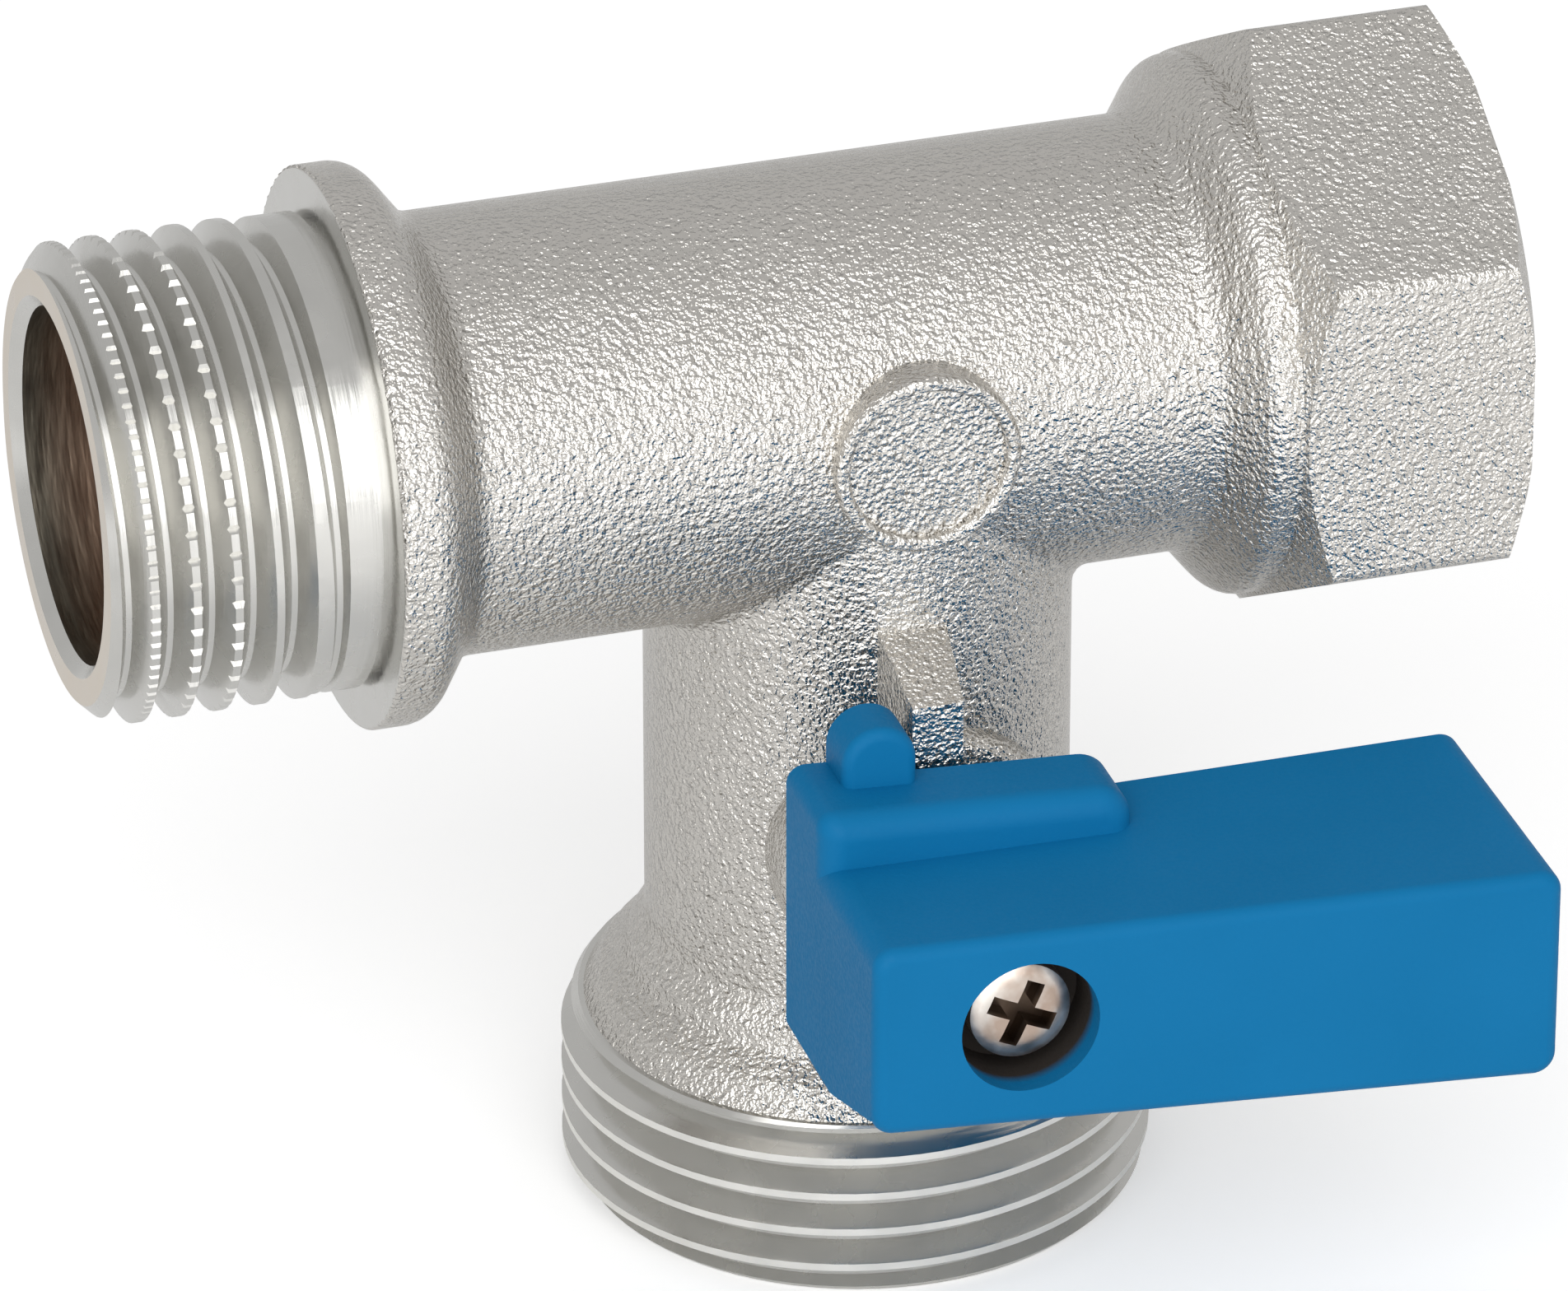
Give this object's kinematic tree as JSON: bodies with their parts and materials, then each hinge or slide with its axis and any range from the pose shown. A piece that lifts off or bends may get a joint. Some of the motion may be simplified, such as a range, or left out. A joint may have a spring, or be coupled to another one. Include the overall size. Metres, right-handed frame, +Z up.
{
  "type": "washing machine valve",
  "caption": "Tee-shaped washing machine valve with a male inlet, a female hexagon socket and a male hose outlet below, shut by a ball that a blue lever turns.",
  "frame": {"origin": "crossing of the run's axis and the branch's axis, on the axis of the run's bore", "axes": "+X along the run towards the hexagon socket, +Z up along the branch from the hose outlet, lever on the -Y side"},
  "size_m": [0.0629, 0.0379, 0.0533],
  "materials": {
    "nickel_forging": "blasted, nickel plated",
    "ball_chrome": "polished",
    "seat_ptfe": "satin",
    "plain_brass": "turned",
    "ring_rubber": "matt",
    "lever_plastic": "moulded, satin",
    "screw_nickel": "bright nickel plated"
  },
  "bodies": {
    "valve": {"valve_body": "nickel_forging", "inlet_seat": "seat_ptfe", "outlet_seat": "seat_ptfe", "seat_retainer": "plain_brass"},
    "lever": {"lever_handle": "lever_plastic", "handle_screw": "screw_nickel", "stem": "plain_brass", "thrust_washer": "seat_ptfe", "inner_stem_ring": "ring_rubber", "outer_stem_ring": "ring_rubber", "ball": "ball_chrome"}
  },
  "joints": [
    {"name": "lever_turn", "type": "hinge", "parent": "valve", "child": "lever", "pos_m": [0, 0, -0.0192], "axis": [0, -1, 0], "range_deg": [0, 93.5]}
  ]
}
